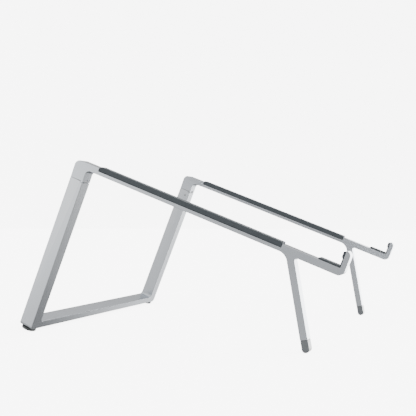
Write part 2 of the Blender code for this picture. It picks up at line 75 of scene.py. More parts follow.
# At the full weight the largest faces settle the normals, so flats stay flat up to their rounded edges.
FLAT_WEIGHT = 100

Piece = bpy.types.Object
Tree = bpy.types.NodeTree
Socket = bpy.types.NodeSocket
Pair = tuple[float, float]
Place = tuple[float, float, float]
Test = Callable[[Vector, Vector], bool]


class Side(Enum):
    """A side of the stand, with the sign of its X."""

    LEFT = -1
    RIGHT = 1

    @property
    def word(self) -> str:
        """Return the side's name as the nodes and bodies spell it."""
        return self.name.lower()


class Body(Enum):
    """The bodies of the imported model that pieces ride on."""

    FRAME = "rear_frame"
    LEFT_ARM = "left_arm"
    RIGHT_ARM = "right_arm"

    @classmethod
    def arm(cls, side: Side) -> "Body":
        """Return the arm's body on one side."""
        return cls.LEFT_ARM if side is Side.LEFT else cls.RIGHT_ARM


class Slot(Enum):
    """The record's material slots."""

    ALUMINIUM = "aluminium"
    SILICONE = "silicone"
    CAP = "cap_silicone"
    FOOT = "foot_rubber"
    STEEL = "steel"
    ACETAL = "acetal"


@dataclass(frozen=True)
class Lean:
    """A leaning frame whose origin is the hinge axis.

    Attributes:
        height: the hinge axis above the floor.
        setback: the hinge axis's Y.
        tilt: how far the frame is turned back about that axis.
    """

    height: float
    setback: float
    tilt: float

    @classmethod
    def from_record(cls, record: dict) -> "Lean":
        """Read the hinge axis from a joint and the tilt from a rail's flat face.

        Args:
            record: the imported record.

        Returns:
            The rails' leaning frame.
        """
        _, setback, height = record["behaviour"]["joints"][0]["pos_m"]
        normal = record["mounts"][0]["axis"]
        return cls(height, setback, math.atan2(-normal[1], normal[2]))

    def further(self, angle: float) -> "Lean":
        """Return the same frame turned back by a further angle."""
        return Lean(self.height, self.setback, self.tilt + angle)

    def settle(self, piece: Piece) -> None:
        """Turn a finished piece from the leaning frame to its place."""
        turn = Matrix.Rotation(self.tilt, 4, "X")
        piece.matrix_world = Matrix.Translation((0, self.setback, self.height)) @ turn @ piece.matrix_world
        keep_place(piece)


POST_SPLAY = math.radians(0.95)
LEAN = Lean.from_record(frame["record"])
POST_LEAN = LEAN.further(POST_SPLAY)


# --- modelling verbs, each said in sizes and places ---


def only(piece: Piece) -> None:
    """Leave one piece selected and active."""
    bpy.ops.object.select_all(action="DESELECT")
    piece.select_set(True)
    bpy.context.view_layer.objects.active = piece


def keep_place(piece: Piece) -> None:
    """Leave a piece's place, turn and scale in its mesh."""
    only(piece)
    bpy.ops.object.transform_apply(location=True, rotation=True, scale=True)


@contextmanager
def shaping(piece: Piece) -> Iterator[None]:
    """Keep a piece in edit mode while it is shaped."""
    only(piece)
    bpy.ops.object.mode_set(mode="EDIT")
    yield
    bpy.ops.object.mode_set(mode="OBJECT")


def block(name: str, low: Place, high: Place) -> Piece:
    """Add a cube primitive between two corners.

    Args:
        name: the piece's name.
        low: its lowest corner.
        high: its highest corner.

    Returns:
        The block, with its size and place in its mesh.
    """
    bpy.ops.object.select_all(action="DESELECT")
    middle = [(a + b) / 2 for a, b in zip(low, high)]
    bpy.ops.mesh.primitive_cube_add(size=1, location=middle)
    piece = bpy.context.active_object
    piece.name = name
    piece.scale = [b - a for a, b in zip(low, high)]
    keep_place(piece)
    return piece


def rod(name: str, start: Place, end: Place, radius: float, sides: int = 48) -> Piece:
    """Add a cylinder primitive between two points.

    Args:
        name: the piece's name.
        start: the middle of one end.
        end: the middle of the other end.
        radius: its radius.
        sides: how many faces go round it.

    Returns:
        The rod, with its size and place in its mesh.
    """
    bpy.ops.object.select_all(action="DESELECT")
    along = Vector(end) - Vector(start)
    bpy.ops.mesh.primitive_cylinder_add(
        vertices=sides,
        radius=radius,
        depth=along.length,
        location=(Vector(start) + Vector(end)) / 2,
        rotation=along.to_track_quat("Z", "Y").to_euler(),
    )
    piece = bpy.context.active_object
    piece.name = name
    keep_place(piece)
    return piece


def pick(items: str, test: Test) -> int:
    """Select faces, edges or vertices in edit mode by their place and direction.

    Args:
        items: "faces", "edges" or "verts".
        test: takes an item's middle and its normal, or an edge's direction.

    Returns:
        How many were selected.
    """
    bpy.ops.mesh.select_all(action="DESELECT")
    bpy.ops.mesh.select_mode(type=items.rstrip("s").upper())
    shape = bmesh.from_edit_mesh(bpy.context.edit_object.data)
    picked = 0
    for item in getattr(shape, items):
        if items == "faces":
            middle, way = item.calc_center_median(), item.normal
        elif items == "edges":
            first, last = (vert.co for vert in item.verts)
            middle, way = (first + last) / 2, (last - first).normalized()
        else:
            middle, way = item.co, item.normal
        if test(middle, way):
            item.select_set(True)
            picked += 1
    shape.select_flush_mode()
    bmesh.update_edit_mesh(bpy.context.edit_object.data)
    return picked


def cut_through(place: Place, normal: Place, drop_front: bool = False) -> None:
    """Cut right through the shape with a plane.

    Args:
        place: a point on the plane.
        normal: the plane's normal.
        drop_front: remove what lies on the normal's side, and close the cut.
    """
    bpy.ops.mesh.select_all(action="SELECT")
    bpy.ops.mesh.bisect(plane_co=place, plane_no=normal, use_fill=drop_front, clear_outer=drop_front)


def draw_out(test: Test, travel: Sequence[float]) -> None:
    """Extrude the faces that pass a test.

    Args:
        test: takes a face's middle and normal.
        travel: how far and which way they go.
    """
    if not pick("faces", test):
        raise ValueError(f"no face to draw out by {tuple(travel)}")
    bpy.ops.mesh.extrude_region_move(TRANSFORM_OT_translate={"value": tuple(travel)})


def shift(test: Test, travel: Sequence[float]) -> None:
    """Move the vertices that pass a test.

    Args:
        test: takes a vertex's place and normal.
        travel: how far and which way they go.
    """
    if not pick("verts", test):
        raise ValueError(f"no vertex to shift by {tuple(travel)}")
    bpy.ops.transform.translate(value=tuple(travel))


def round_edges(test: Test, radius: float, angle: float = math.pi / 2, segments: int = 10) -> None:
    """Round the edges that pass a test.

    Args:
        test: takes an edge's middle and direction.
        radius: the arc's radius.
        angle: the angle between the two faces, measured inside the smaller corner.
        segments: how many faces make the arc.
    """
    if not pick("edges", test):
        raise ValueError(f"no edge to round by {radius}")
    bpy.ops.mesh.bevel(
        offset=radius / math.tan(angle / 2), offset_type="OFFSET", segments=segments,
        affect="EDGES", clamp_overlap=False,
    )


def join_flat_faces() -> None:
    """Dissolve the lines that cuts left across flat faces."""
    bpy.ops.mesh.select_all(action="SELECT")
    bpy.ops.mesh.dissolve_limited(angle_limit=FLAT_ANGLE)


def soften(piece: Piece, width: float, segments: int = 3) -> None:
    """Round every remaining sharp edge a little.

    Args:
        piece: the piece.
        width: how far the rounding reaches from the edge.
        segments: how many faces make it.
    """
    edges = piece.modifiers.new("edges", "BEVEL")
    edges.width = width
    edges.segments = segments
    edges.limit_method = "ANGLE"
    edges.angle_limit = SHARP_ANGLE
    edges.use_clamp_overlap = True
    apply(piece)


def combine(piece: Piece, tool: Piece, join: bool = False) -> None:
    """Cut a tool's shape out of a piece, or join it on, and put the tool away.

    Args:
        piece: the piece.
        tool: the tool.
        join: join it on.
    """
    boolean = piece.modifiers.new(tool.name, "BOOLEAN")
    boolean.object = tool
    boolean.operation = "UNION" if join else "DIFFERENCE"
    boolean.solver = "EXACT"
    apply(piece)
    bpy.data.objects.remove(tool, do_unlink=True)


def apply(piece: Piece) -> None:
    """Apply all of a piece's modifiers."""
    only(piece)
    for modifier in list(piece.modifiers):
        bpy.ops.object.modifier_apply(modifier=modifier.name)


def polish(piece: Piece) -> None:
    """Weld the mesh, point its faces outwards, and shade its rounds smooth and its flats flat."""
    with shaping(piece):
        bpy.ops.mesh.select_all(action="SELECT")
        bpy.ops.mesh.remove_doubles(threshold=WELD)
        bpy.ops.mesh.normals_make_consistent(inside=False)
    only(piece)
    bpy.ops.object.shade_smooth_by_angle(angle=SMOOTH_ANGLE)
    normals = piece.modifiers.new("normals", "WEIGHTED_NORMAL")
    normals.mode = "FACE_AREA"
    normals.weight = FLAT_WEIGHT
    normals.keep_sharp = True
    apply(piece)


def at(y: float, z: float) -> Test:
    """Return a test for an edge that runs across the stand at this Y and Z of the leaning frame."""
    return lambda middle, way: abs(way.x) > ALONG and math.hypot(middle.y - y, middle.z - z) < NEAR


# --- finishes ---


def linear(code: str) -> tuple[float, float, float, float]:
    """Turn an sRGB hex colour to linear red, green, blue and alpha.

    Args:
        code: the colour, such as "#c8cacc".

    Returns:
        The linear colour.
    """
    levels = [int(code[start : start + 2], 16) / 255 for start in (1, 3, 5)]
    red, green, blue = (
        level / 12.92 if level <= 0.04045 else ((level + 0.055) / 1.055) ** 2.4 for level in levels
    )
    return (red, green, blue, 1.0)


def add_node(
    tree: Tree, kind: str, settings: dict[str, object] | None = None, **inputs: object
) -> bpy.types.Node:
    """Add a shader node with its settings, values and links.

    Args:
        tree: the node tree.
        kind: the node's type, without the ShaderNode that starts it.
        settings: its properties.
        inputs: its sockets by name with _ for a space, or by number as in_0, each with a value or a link.

    Returns:
        The node.
    """
    node = tree.nodes.new(f"ShaderNode{kind}")
    for name, value in (settings or {}).items():
        setattr(node, name, value)
    for name, value in inputs.items():
        key = int(name[3:]) if name.startswith("in_") else name.replace("_", " ")
        socket = node.inputs[key]
        if isinstance(value, Socket):
            tree.links.new(value, socket)
        else:
            socket.default_value = value
    return node


def per_mm(size: float) -> float:
    """Return the scale that makes one cell of a noise this many millimetres wide."""
    return 1.0 / (size * MM)


@dataclass(frozen=True)
class Finish:
    """What every finish shares. Its sizes are in millimetres.

    Attributes:
        name: what the material really is.
        light: its lighter colour.
        dark: its darker colour.
        roughness: its middle roughness.
        spread: how far the roughness varies each way.
        metallic: 1 for a metal.
        grain: the size of its surface grain.
        grain_height: how deep that grain is.
        patch: the size of its faint patches of tone.
        gloss: how much of a satin coat lies over it, from 0 to 1.
        STRETCH: how the grain is scaled along X, Y and Z; it runs long where this is under 1.
        FRACTAL: the grain's detail and how rough that detail is.
        GRAIN_SHARE: how much the grain adds to the patches.
        TONES: the sums of the two that look wholly dark and wholly light.
        MARK: the colour of the finish's own marks.
        MARKED: where a mark starts and where it is full, in what the marks follow.
        MARK_SHARE: how much of the marks' colour shows there.
        SKIN: the shader's sockets that are the same all over, by name with _ for a space.
    """

    name: str
    light: str
    dark: str
    roughness: float
    spread: float
    metallic: float
    grain: float
    grain_height: float
    patch: float
    gloss: float = 0.0
    STRETCH: ClassVar[Place] = (1.0, 1.0, 1.0)
    FRACTAL: ClassVar[Pair] = (2.0, 0.55)
    GRAIN_SHARE: ClassVar[float] = 0.35
    TONES: ClassVar[Pair] = (0.3, 1.0)
    MARK: ClassVar[str] = "#ffffff"
    MARKED: ClassVar[Pair] = (0.0, 1.0)
    MARK_SHARE: ClassVar[float] = 0.0
    SKIN: ClassVar[dict[str, float]] = {}

    def make(self) -> bpy.types.Material:
        """Make the material.

        Returns:
            The material, with its colour, roughness and relief from procedural nodes.
        """
        material = bpy.data.materials.new(self.name)
        material.use_nodes = True
        tree = material.node_tree
        tree.nodes.clear()
        place = self._place(tree)
        patches = add_node(
            tree, "TexNoise", Vector=place, Scale=per_mm(self.patch), Detail=3.0, Roughness=0.6
        )
        grain = self._grain(tree, place)
        blend = add_node(
            tree, "Math", {"operation": "MULTIPLY_ADD"}, in_0=grain, in_1=self.GRAIN_SHARE,
            in_2=patches.outputs["Fac"],
        ).outputs[0]
        dark, light = self.TONES
        level = add_node(tree, "MapRange", Value=blend, From_Min=dark, From_Max=light)
        colour = add_node(
            tree, "Mix", {"data_type": "RGBA"}, Factor=level.outputs[0],
            in_6=linear(self.dark), in_7=linear(self.light),
        ).outputs["Result"]
        rough = add_node(
            tree, "MapRange", Value=blend, From_Min=dark, From_Max=light,
            To_Min=self.roughness - self.spread, To_Max=self.roughness + self.spread,
        )
        bump = add_node(tree, "Bump", Strength=1.0, Distance=self.grain_height * MM, Height=grain)
        shader = add_node(
            tree, "BsdfPrincipled", Base_Color=self._mark(tree, place, colour), Metallic=self.metallic,
            Roughness=rough.outputs[0], Normal=bump.outputs[0], Coat_Weight=self.gloss, **self.SKIN,
        )
        add_node(tree, "OutputMaterial", Surface=shader.outputs[0])
        return material

    def _place(self, tree: Tree) -> Socket:
        """Return the surface's place, turned so that a pattern runs with the rails and posts."""
        place = add_node(tree, "TexCoord").outputs["Object"]
        return add_node(tree, "Mapping", Vector=place, Rotation=(-LEAN.tilt, 0.0, 0.0)).outputs[0]

    def _grain(self, tree: Tree, place: Socket) -> Socket:
        """Return the height of the surface grain, from 0 to 1."""
        stretched = add_node(tree, "Mapping", Vector=place, Scale=self.STRETCH).outputs[0]
        detail, roughness = self.FRACTAL
        return add_node(
            tree, "TexNoise", Vector=stretched, Scale=per_mm(self.grain), Detail=detail, Roughness=roughness
        ).outputs["Fac"]

    def _follow(self, tree: Tree, place: Socket) -> Socket | None:
        """Return what the finish's own marks follow, if it has any."""
        return None

    def _mark(self, tree: Tree, place: Socket, colour: Socket) -> Socket:
        """Draw the finish's own marks over its colour.

        Args:
            tree: the material's node tree.
            place: the surface's place.
            colour: the colour without marks.

        Returns:
            The colour with them.
        """
        source = self._follow(tree, place)
        if source is None:
            return colour
        start, full = self.MARKED
        share = add_node(
            tree, "MapRange", Value=source, From_Min=start, From_Max=full, To_Max=self.MARK_SHARE
        )
        return add_node(
            tree, "Mix", {"data_type": "RGBA"}, Factor=share.outputs[0], in_6=colour, in_7=linear(self.MARK)
        ).outputs["Result"]


@dataclass(frozen=True)
class AnodisedAluminium(Finish):
    """Bead-blasted and clear anodised aluminium: an even satin sparkle, its edges rubbed a little lighter."""

    MARK: ClassVar[str] = "#eef0f1"
    MARKED: ClassVar[Pair] = (0.52, 0.62)
    MARK_SHARE: ClassVar[float] = 0.35

    def _follow(self, tree: Tree, place: Socket) -> Socket | None:
        """Return the pointiness, which is high on the crisp edges that handling rubs."""
        return add_node(tree, "NewGeometry").outputs["Pointiness"]


@dataclass(frozen=True)
class GroundSteel(Finish):
    """Ground steel: fine parallel lines from the wheel, along the post."""

    STRETCH: ClassVar[Place] = (1.0, 1.0, 0.06)
    FRACTAL: ClassVar[Pair] = (3.0, 0.6)


@dataclass(frozen=True)
class TurnedAcetal(Finish):
    """Acetal turned from rod: waxy and half matt, with fine tool marks across the stand."""

    STRETCH: ClassVar[Place] = (0.2, 1.0, 1.0)
    FRACTAL: ClassVar[Pair] = (2.0, 0.5)


@dataclass(frozen=True)
class MouldedSilicone(Finish):
    """Moulded silicone: a soft matt skin from a blasted mould, with a little dust and lint on it.

    Attributes:
        SPECK: the size of a speck of dust, in millimetres.
    """

    MARK: ClassVar[str] = "#a9adaf"
    MARKED: ClassVar[Pair] = (0.6, 0.72)
    MARK_SHARE: ClassVar[float] = 0.22
    SKIN: ClassVar[dict[str, float]] = {
        "IOR": 1.42, "Sheen_Weight": 0.12, "Sheen_Roughness": 0.5, "Coat_Roughness": 0.26, "Coat_IOR": 1.9,
    }
    SPECK: ClassVar[float] = 1.1

    def _follow(self, tree: Tree, place: Socket) -> Socket | None:
        """Return a rough noise whose few peaks are the specks."""
        return add_node(
            tree, "TexNoise", Vector=place, Scale=per_mm(self.SPECK), Detail=6.0, Roughness=0.75
        ).outputs["Fac"]


class Finishes:
    """The stand's materials, one for each slot."""

    def __init__(self) -> None:
        """Make them all."""
        looks = {
            # Satin and pale: the room shows in it as broad soft bands. A blasted grain is under 0.1 mm, and
            # is drawn at 0.35 mm so that it shows at all.
            Slot.ALUMINIUM: AnodisedAluminium(
                "clear_anodised_blasted_aluminium", "#cbd0d6", "#c2c7cd", 0.235, 0.03, 1.0, 0.35, 0.004, 38.0
            ),
            # Nearly black against the metal, with no highlight.
            Slot.SILICONE: MouldedSilicone(
                "dark_grey_moulded_silicone", "#50575c", "#43494e", 0.62, 0.08, 0.0, 0.5, 0.012, 14.0
            ),
            # Smoother from its mould, so its round tip has a soft highlight.
            Slot.CAP: MouldedSilicone(
                "mid_grey_moulded_silicone", "#666c70", "#5b6165", 0.55, 0.07, 0.0, 0.5, 0.010, 5.0, 0.9
            ),
            # The darkest, with a dull shine round its rim.
            Slot.FOOT: MouldedSilicone(
                "black_moulded_rubber", "#363b3e", "#2a2f32", 0.6, 0.08, 0.0, 0.6, 0.015, 4.0, 0.6
            ),
            # Brighter and sharper than the aluminium, in streaks.
            Slot.STEEL: GroundSteel(
                "ground_stainless_steel", "#c3c4c5", "#9fa1a3", 0.28, 0.08, 1.0, 0.18, 0.006, 5.0
            ),
            # Pale and even, like wax.
            Slot.ACETAL: TurnedAcetal(
                "turned_grey_acetal", "#a9acae", "#94979a", 0.42, 0.06, 0.0, 0.2, 0.004, 3.0
            ),
        }
        self.made = {slot: finish.make() for slot, finish in looks.items()}

    def of(self, slot: Slot) -> bpy.types.Material:
        """Return the material of a slot."""
        return self.made[slot]


@dataclass(frozen=True)
class Hardware:
    """The hinge's sizes, which the frame and the arms share.

    Attributes:
        post_width: the width of a post and of the knuckle on it.
        front: the front face of the post and the knuckle.
        rear: their rear face.
        parting: half the gap between the post and the knuckle.
        lug: the radius of the lugs.
        lug_depths: the two depths of each lug.
        reach: the hinge axis to the walls of the pockets.
        skin: the outer face to the dowels.
        pin_start: the outer face to the blind end of the pin's bore.
        bore: the radius of the pin's bore.
        past: how far a cutter runs past a wall.
        pocket_round: the pocket's corner radius, as a share of its reach.
    """

    post_width: float = 12.0 * MM
    front: float = -1.2 * MM
    rear: float = 11.8 * MM
    parting: float = 0.2 * MM
    lug: float = 1.1 * MM
    lug_depths: tuple[Pair, ...] = ((0.1 * MM, 3.8 * MM), (8.2 * MM, 11.9 * MM))
    reach: float = 1.3 * MM
    skin: float = 2.0 * MM
    pin_start: float = 2.3 * MM
    bore: float = 0.63 * MM
    past: float = 2.0 * MM
    pocket_round: float = 0.98


HINGE = Hardware()
STAND_WIDTH = 240.0 * MM
EDGE = 0.3 * MM


def across(side: Side, depth: float) -> float:
    """Return the X of a depth in from a side's outer face."""
    return side.value * (STAND_WIDTH / 2 - depth)


def side_block(name: str, side: Side, depths: Pair, low: Pair, high: Pair) -> Piece:
    """Add a block between two depths on one side.

    Args:
        name: its name.
        side: the side.
        depths: the two depths in from the outer face.
        low: its lowest Y and Z.
        high: its highest Y and Z.

    Returns:
        The block.
    """
    first, last = sorted(across(side, depth) for depth in depths)
    return block(name, (first, *low), (last, *high))


def side_rod(name: str, side: Side, depths: Pair, place: Pair, radius: float, sides: int = 40) -> Piece:
    """Add a rod across one side, between two depths.

    Args:
        name: its name.
        side: the side.
        depths: the two depths in from the outer face.
        place: its axis's Y and Z.
        radius: its radius.
        sides: how many faces go round it.

    Returns:
        The rod.
    """
    first, last = sorted(across(side, depth) for depth in depths)
    return rod(name, (first, *place), (last, *place), radius, sides)


def hinge_pocket(side: Side, depths: Pair, up: int) -> Piece:
    """Make the cutter of a pocket that clears a lug or an eye, open to the front.

    Args:
        side: the side.
        depths: the pocket's two depths.
        up: 1 for a pocket in the arm, -1 for one in the post.

    Returns:
        The cutter.
    """
    heights = sorted((-up * HINGE.past, up * HINGE.reach))
    tool = side_block(
        "pocket", side, depths, (HINGE.front - HINGE.past, heights[0]), (HINGE.reach, heights[1])
    )
    with shaping(tool):
        corner = HINGE.reach * HINGE.pocket_round
        round_edges(at(HINGE.reach, up * HINGE.reach), corner, segments=12)
    return tool


def show(piece: Piece, lean: Lean, body: Body, slot: Slot, finishes: Finishes, node: str) -> None:
    """Settle a finished piece, give it its finish, and join it to its body.

    Args:
        piece: the piece, still in its leaning frame.
        lean: that frame.
        body: the body that it rides on.
        slot: its material slot.
        finishes: the stand's materials.
        node: the CAD node that it replaces.
    """
    lean.settle(piece)
    polish(piece)
    piece.data.materials.clear()
    piece.data.materials.append(finishes.of(slot))
    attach(piece, body.value)
    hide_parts(node)
    low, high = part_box(node)
    off = 0.0
    for axis in range(3):
        values = [vert.co[axis] for vert in piece.data.vertices]
        off = max(off, abs(min(values) - low[axis]), abs(max(values) - high[axis]))
    faces = len(piece.data.polygons)
    log.info("%s for %s: %d faces, box within %.2f mm", piece.name, node, faces, off / MM)


# --- rear frame ---


@dataclass
class RearFrame:
    """The U-shaped rear leg frame, with its two rubber feet, in the posts' leaning frame."""

    height: float = 139.4 * MM
    bar: float = 6.3 * MM
    outer_radius: float = 3.0 * MM
    inner_radius: float = 3.5 * MM
    spare: float = 1.0 * MM
    slot_depths: Pair = (4.4 * MM, 7.6 * MM)
    tongue_front: float = -0.35 * MM
    tongue_depth: float = 6.4 * MM
    tongue_length: float = 17.0 * MM
    dowel: float = 1.08 * MM
    dowel_drops: tuple[float, ...] = (5.5 * MM, 12.5 * MM)
    gap: float = 0.25 * MM
    foot_radius: float = 6.4 * MM
    foot_height: float = 2.31 * MM
    foot_edge: float = 0.6 * MM
    sole_rim: float = 1.4 * MM
    foot_inset: float = 6.9 * MM
    stem: float = 2.2 * MM
    stem_height: float = 3.6 * MM

    @property
    def base(self) -> float:
        """Return the underside of the bar."""
        return -self.height

    @property
    def foot_y(self) -> float:
        """Return the middle of the posts, front to rear."""
        return (HINGE.front + HINGE.rear) / 2

    def build(self) -> Piece:
        """Bend the U: a bar with a post drawn up from each end, its corners rounded and its tops trimmed.

        Returns:
            The frame in the posts' leaning frame.
        """
        half = STAND_WIDTH / 2
        inner = half - HINGE.post_width
        bar_top = self.base + self.bar
        piece = block(
            "rear_frame_forging", (-half, HINGE.front, self.base), (half, HINGE.rear, bar_top)
        )
        with shaping(piece):
            for x in (-inner, inner):
                cut_through((x, 0, 0), (1, 0, 0))
            draw_out(
                lambda middle, way: way.z > FACING and abs(middle.x) > inner, (0, 0, self.spare - bar_top)
            )
            join_flat_faces()
            round_edges(
                lambda middle, way: abs(way.y) > FACING
                and abs(middle.z - self.base) < EDGE
                and abs(middle.x) > inner,
                self.outer_radius, segments=18,
            )
            round_edges(
                lambda middle, way: abs(way.y) > FACING
                and abs(middle.z - bar_top) < EDGE
                and abs(abs(middle.x) - inner) < EDGE,
                self.inner_radius, segments=14,
            )
        soften(piece, EDGE)
        with shaping(piece):
            level = Vector((0, -math.sin(POST_SPLAY), math.cos(POST_SPLAY)))
            cut_through(-HINGE.parting * level, level, drop_front=True)
        for side in Side:
            self._cut_hinge(piece, side)
        return piece

    def _cut_hinge(self, piece: Piece, side: Side) -> None:
        """Cut one post's pocket, slot, dowel holes and the hole for its foot's stem."""
        out = HINGE.post_width + HINGE.past
        combine(piece, hinge_pocket(side, (-HINGE.past, out), -1))
        slot = side_block(
            "slot", side, (self.slot_depths[0] - self.gap, self.slot_depths[1] + self.gap),
            (self.tongue_front - self.gap, -self.tongue_length - self.gap),
            (self.tongue_front + self.tongue_depth + self.gap, HINGE.past),
        )
        combine(piece, slot)
        middle = self.tongue_front + self.tongue_depth / 2
        for drop in self.dowel_drops:
            hole = side_rod("hole", side, (HINGE.skin - self.gap, out), (middle, -drop), self.dowel, 32)
            combine(piece, hole)
        x = across(side, self.foot_inset)
        hole = rod(
            "hole", (x, self.foot_y, self.base - HINGE.past),
            (x, self.foot_y, self.base + self.stem_height + self.gap), self.stem + self.gap / 2,
        )
        combine(piece, hole)

    def build_foot(self, side: Side) -> Piece:
        """Mould one foot: a low button with a soft rim, a shallow dish in its sole, and its stem.

        Args:
            side: the side.

        Returns:
            The foot in the posts' leaning frame.
        """
        x = across(side, self.foot_inset)
        top = self.base - self.gap
        low = top - self.foot_height

        def rim(height: float) -> Test:
            """Return a test for the edges round the foot at a height."""
            return lambda middle, way: abs(way.z) < ASIDE and abs(middle.z - height) < self.gap / 2

        def disc(height: float) -> Test:
            """Return a test for the face across the foot's axis at a height."""
            return lambda middle, way: (middle - Vector((x, self.foot_y, height))).length < SLACK

        piece = rod(
            f"{side.word}_rubber_foot", (x, self.foot_y, low), (x, self.foot_y, top), self.foot_radius, 96
        )
        with shaping(piece):
            round_edges(rim(low), self.foot_edge, segments=8)
            round_edges(rim(top), self.gap, segments=4)
            pick("faces", disc(low))
            bpy.ops.mesh.inset(thickness=self.sole_rim, depth=0)
            bpy.ops.mesh.inset(thickness=self.gap, depth=-self.gap)
            pick("faces", disc(top))
            bpy.ops.mesh.inset(thickness=self.foot_radius - self.gap - self.stem, depth=0)
            bpy.ops.mesh.extrude_region_move(
                TRANSFORM_OT_translate={"value": (0, 0, self.stem_height + self.gap)}
            )
        return piece

    def dress(self, finishes: Finishes) -> None:
        """Build and place the frame and its feet, and give the tongues and dowels their steel."""
        show(self.build(), POST_LEAN, Body.FRAME, Slot.ALUMINIUM, finishes, "rear_leg_frame")
        for side in Side:
            foot = self.build_foot(side)
            show(foot, POST_LEAN, Body.FRAME, Slot.FOOT, finishes, f"{side.word}_rear_foot")
            for node in ("hinge_tongue", "tongue_dowel_upper", "tongue_dowel_lower"):
                dress_node(f"{side.word}_{node}", Slot.STEEL, finishes)


def dress_node(node: str, slot: Slot, finishes: Finishes) -> None:
    """Give a CAD node that stays its finish."""
    for holder in frame["nodes"][node].material_slots:
        holder.material = finishes.of(slot)
    log.info("%s keeps its packed shape", node)


# --- side arms ---


@dataclass
class SideArm:
    """One side arm: the forging, its pads and its cap."""

    side: Side
    width: float = 9.5 * MM
    rail_base: float = 10.5 * MM
    rail_seat: float = 13.5 * MM
    rail_top: float = 16.4 * MM
    pad_top: float = 17.9 * MM
    hook_front: float = -235.2 * MM
    hook_rear: float = -231.2 * MM
    hook_top: float = 29.9 * MM
    recess_rear: float = -12.4 * MM
    recess_front: float = -184.2 * MM
    knuckle_radius: float = 5.0 * MM
    knuckle_fillet: float = 4.0 * MM
    ramp_end: float = -5.45 * MM
    heel_radius: float = 5.0 * MM
    hook_top_radius: float = 3.6 * MM
    leg_root: float = -192.3 * MM
    leg_thickness: float = 5.9 * MM
    leg_angle: float = math.radians(59.0)
    leg_rear_fillet: float = 9.0 * MM
    leg_front_fillet: float = 2.0 * MM
    leg_reach: float = 70.916 * MM
    cap_length: float = 9.7 * MM
    cap_edge: float = 0.7 * MM
    tenon: tuple[float, float, float] = (5.6 * MM, 2.9 * MM, 5.5 * MM)
    gap: float = 0.25 * MM
    cap_tip: float = 0.995
    pad_inset: float = 0.4 * MM
    pad_end: float = 1.0 * MM
    strip_edge: float = 0.35 * MM
    lining_reach: float = 18.0 * MM
    lining_thin: float = 1.0 * MM
    lining_thick: float = 2.0 * MM
    lining_step: float = 6.6 * MM
    lining_drop: float = 1.0 * MM
    lining_top: float = 0.8 * MM
    lining_edge: float = 0.18 * MM
    peg: float = 1.5 * MM
    peg_depth: float = 1.6 * MM
    pegs: int = 3

    @property
    def leg_end(self) -> float:
        """Return how far down the leg its metal ends."""
        return self.leg_reach + self.leg_thickness / 2 - self.cap_length

    @property
    def middle(self) -> float:
        """Return the depth of the arm's middle."""
        return self.width / 2

    def leg_point(self, along: float, forward: float) -> Pair:
        """Return the Y and Z of a point on the leg.

        Args:
            along: how far down the leg's centre line.
            forward: how far to its front.

        Returns:
            Y and Z in the leaning frame.
        """
        cosine, sine = math.cos(self.leg_angle), math.sin(self.leg_angle)
        return (
            self.leg_root - cosine * along - sine * forward,
            self.rail_base - sine * along + cosine * forward,
        )

    def build(self) -> Piece:
        """Forge the arm: a bar with its knuckle, ends, hook and leg drawn out of it.

        Returns:
            The arm in the leaning frame.
        """
        half_root = self.leg_thickness / 2 / math.sin(self.leg_angle)
        root = (self.leg_root - half_root, self.leg_root + half_root)
        piece = side_block(
            f"{self.side.word}_arm_forging", self.side, (0, self.width), (self.hook_front, self.rail_base),
            (HINGE.rear, self.rail_seat),
        )
        inwards = -self.side.value
        with shaping(piece):
            for y in (self.hook_rear, *root, self.recess_front, self.recess_rear, HINGE.front):
                cut_through((0, y, 0), (0, 1, 0))
            draw_out(
                lambda middle, way: way.z > FACING and not self.recess_front < middle.y < self.recess_rear,
                (0, 0, self.rail_top - self.rail_seat),
            )
            draw_out(
                lambda middle, way: way.z > FACING and middle.y < self.hook_rear,
                (0, 0, self.hook_top - self.rail_top),
            )
            draw_out(
                lambda middle, way: way.z < -FACING and middle.y > HINGE.front,
                (0, 0, HINGE.parting - self.rail_base),
            )
            down = Vector((0, -math.cos(self.leg_angle), -math.sin(self.leg_angle)))
            draw_out(
                lambda middle, way: way.z < -FACING and root[0] < middle.y < root[1],
                (self.leg_end + self.leg_thickness) * down,
            )
            cut_through((0, *self.leg_point(self.leg_end, 0)), down, drop_front=True)
            draw_out(
                lambda middle, way: way.x * inwards > FACING and middle.y > self.recess_rear,
                (inwards * (HINGE.post_width - self.width), 0, 0),
            )
            inner = across(self.side, HINGE.post_width)
            shift(
                lambda middle, way: abs(middle.x - inner) < EDGE and middle.y < HINGE.front - EDGE,
                (0, self.ramp_end - self.recess_rear, 0),
            )
            join_flat_faces()
            self._round_corners(root)
        soften(piece, EDGE)
        self._cut_hinge(piece)
        self._add_tenon(piece)
        for y in self._peg_places():
            hole = self._peg_rod(y, self.peg + self.gap / 2, self.peg_depth + self.gap, HINGE.past)
            combine(piece, hole)
        return piece

    def _round_corners(self, root: Pair) -> None:
        """Round the corners that run across the arm.

        Args:
            root: the Y of the leg's front and rear, where they meet the rail.
        """
        square = math.pi / 2
        for y, z, radius, angle, segments in (
            (HINGE.rear, self.rail_top, self.knuckle_radius, square, 16),
            (HINGE.front, self.rail_base, self.knuckle_fillet, square, 14),
            (self.hook_front, self.rail_base, self.heel_radius, square, 16),
            (self.hook_front, self.hook_top, self.hook_top_radius, square, 14),
            (root[0], self.rail_base, self.leg_front_fillet, self.leg_angle, 12),
            (root[1], self.rail_base, self.leg_rear_fillet, math.pi - self.leg_angle, 16),
        ):
            round_edges(at(y, z), radius, angle, segments)

